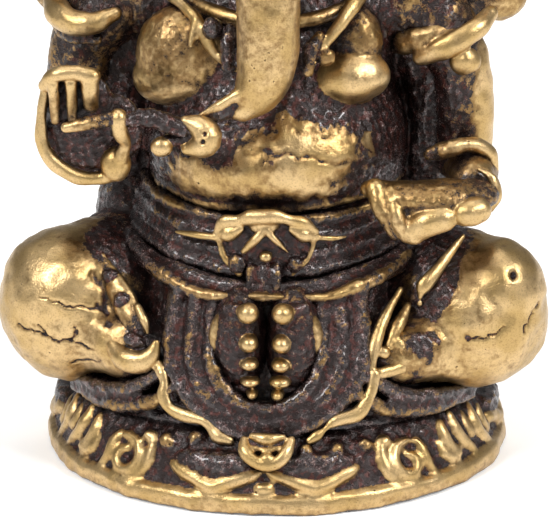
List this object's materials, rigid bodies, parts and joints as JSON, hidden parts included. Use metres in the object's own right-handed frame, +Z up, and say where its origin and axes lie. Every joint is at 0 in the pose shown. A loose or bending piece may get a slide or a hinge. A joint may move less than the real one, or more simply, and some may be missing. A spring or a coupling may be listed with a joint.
{
  "type": "ganesha idol",
  "caption": "Seated elephant-headed brass idol on a round lotus plinth, with worn bright high spots and dark patina in the recesses.",
  "frame": {"origin": "centre of the plinth's underside", "axes": "+Z up, the idol faces -Y, +X to a viewer's right as they face it (the idol's own left)"},
  "size_m": [0.0364, 0.0304, 0.054],
  "materials": {
    "cast_brass": "cast, grainy, with dark brown patina in the recesses and worn bright high spots",
    "ornament_brass": "cast, rubbed bright on its edges, with dark patina round it",
    "plate_brass": "flat, dull and lightly scratched"
  },
  "bodies": {
    "root": {"axe_blade": "ornament_brass", "axe_handle": "ornament_brass", "base_plate": "plate_brass", "belt": "cast_brass", "belt_buckle": "ornament_brass", "broken_tusk": "ornament_brass", "crown": "cast_brass", "crown_band": "ornament_brass", "crown_finial": "ornament_brass", "dhoti_hem": "cast_brass", "dhoti_lap": "cast_brass", "eyes": "ornament_brass", "head": "cast_brass", "hem_pendant": "ornament_brass", "left_ear": "cast_brass", "left_foot": "cast_brass", "left_front_armlet": "ornament_brass", "left_front_bracelet": "ornament_brass", "left_front_forearm": "cast_brass", "left_front_hand": "cast_brass", "left_front_upper_arm": "cast_brass", "left_rear_armlet": "ornament_brass", "left_rear_bracelet": "ornament_brass", "left_rear_forearm": "cast_brass", "left_rear_hand": "cast_brass", "left_rear_upper_arm": "cast_brass", "left_shin": "cast_brass", "left_thigh": "cast_brass", "left_toes": "ornament_brass", "left_tusk": "ornament_brass", "lotus_petals": "cast_brass", "necklace": "ornament_brass", "noose": "ornament_brass", "noose_handle": "ornament_brass", "plinth": "cast_brass", "right_ear": "cast_brass", "right_foot": "cast_brass", "right_front_armlet": "ornament_brass", "right_front_bracelet": "ornament_brass", "right_front_forearm": "cast_brass", "right_front_hand": "cast_brass", "right_front_upper_arm": "cast_brass", "right_rear_armlet": "ornament_brass", "right_rear_bracelet": "ornament_brass", "right_rear_forearm": "cast_brass", "right_rear_hand": "cast_brass", "right_rear_upper_arm": "cast_brass", "right_shin": "cast_brass", "right_thigh": "cast_brass", "right_toes": "ornament_brass", "right_tusk_stub": "ornament_brass", "sash_tail": "cast_brass", "sweet_ball": "ornament_brass", "torso": "cast_brass", "trunk": "cast_brass"}
  },
  "joints": []
}
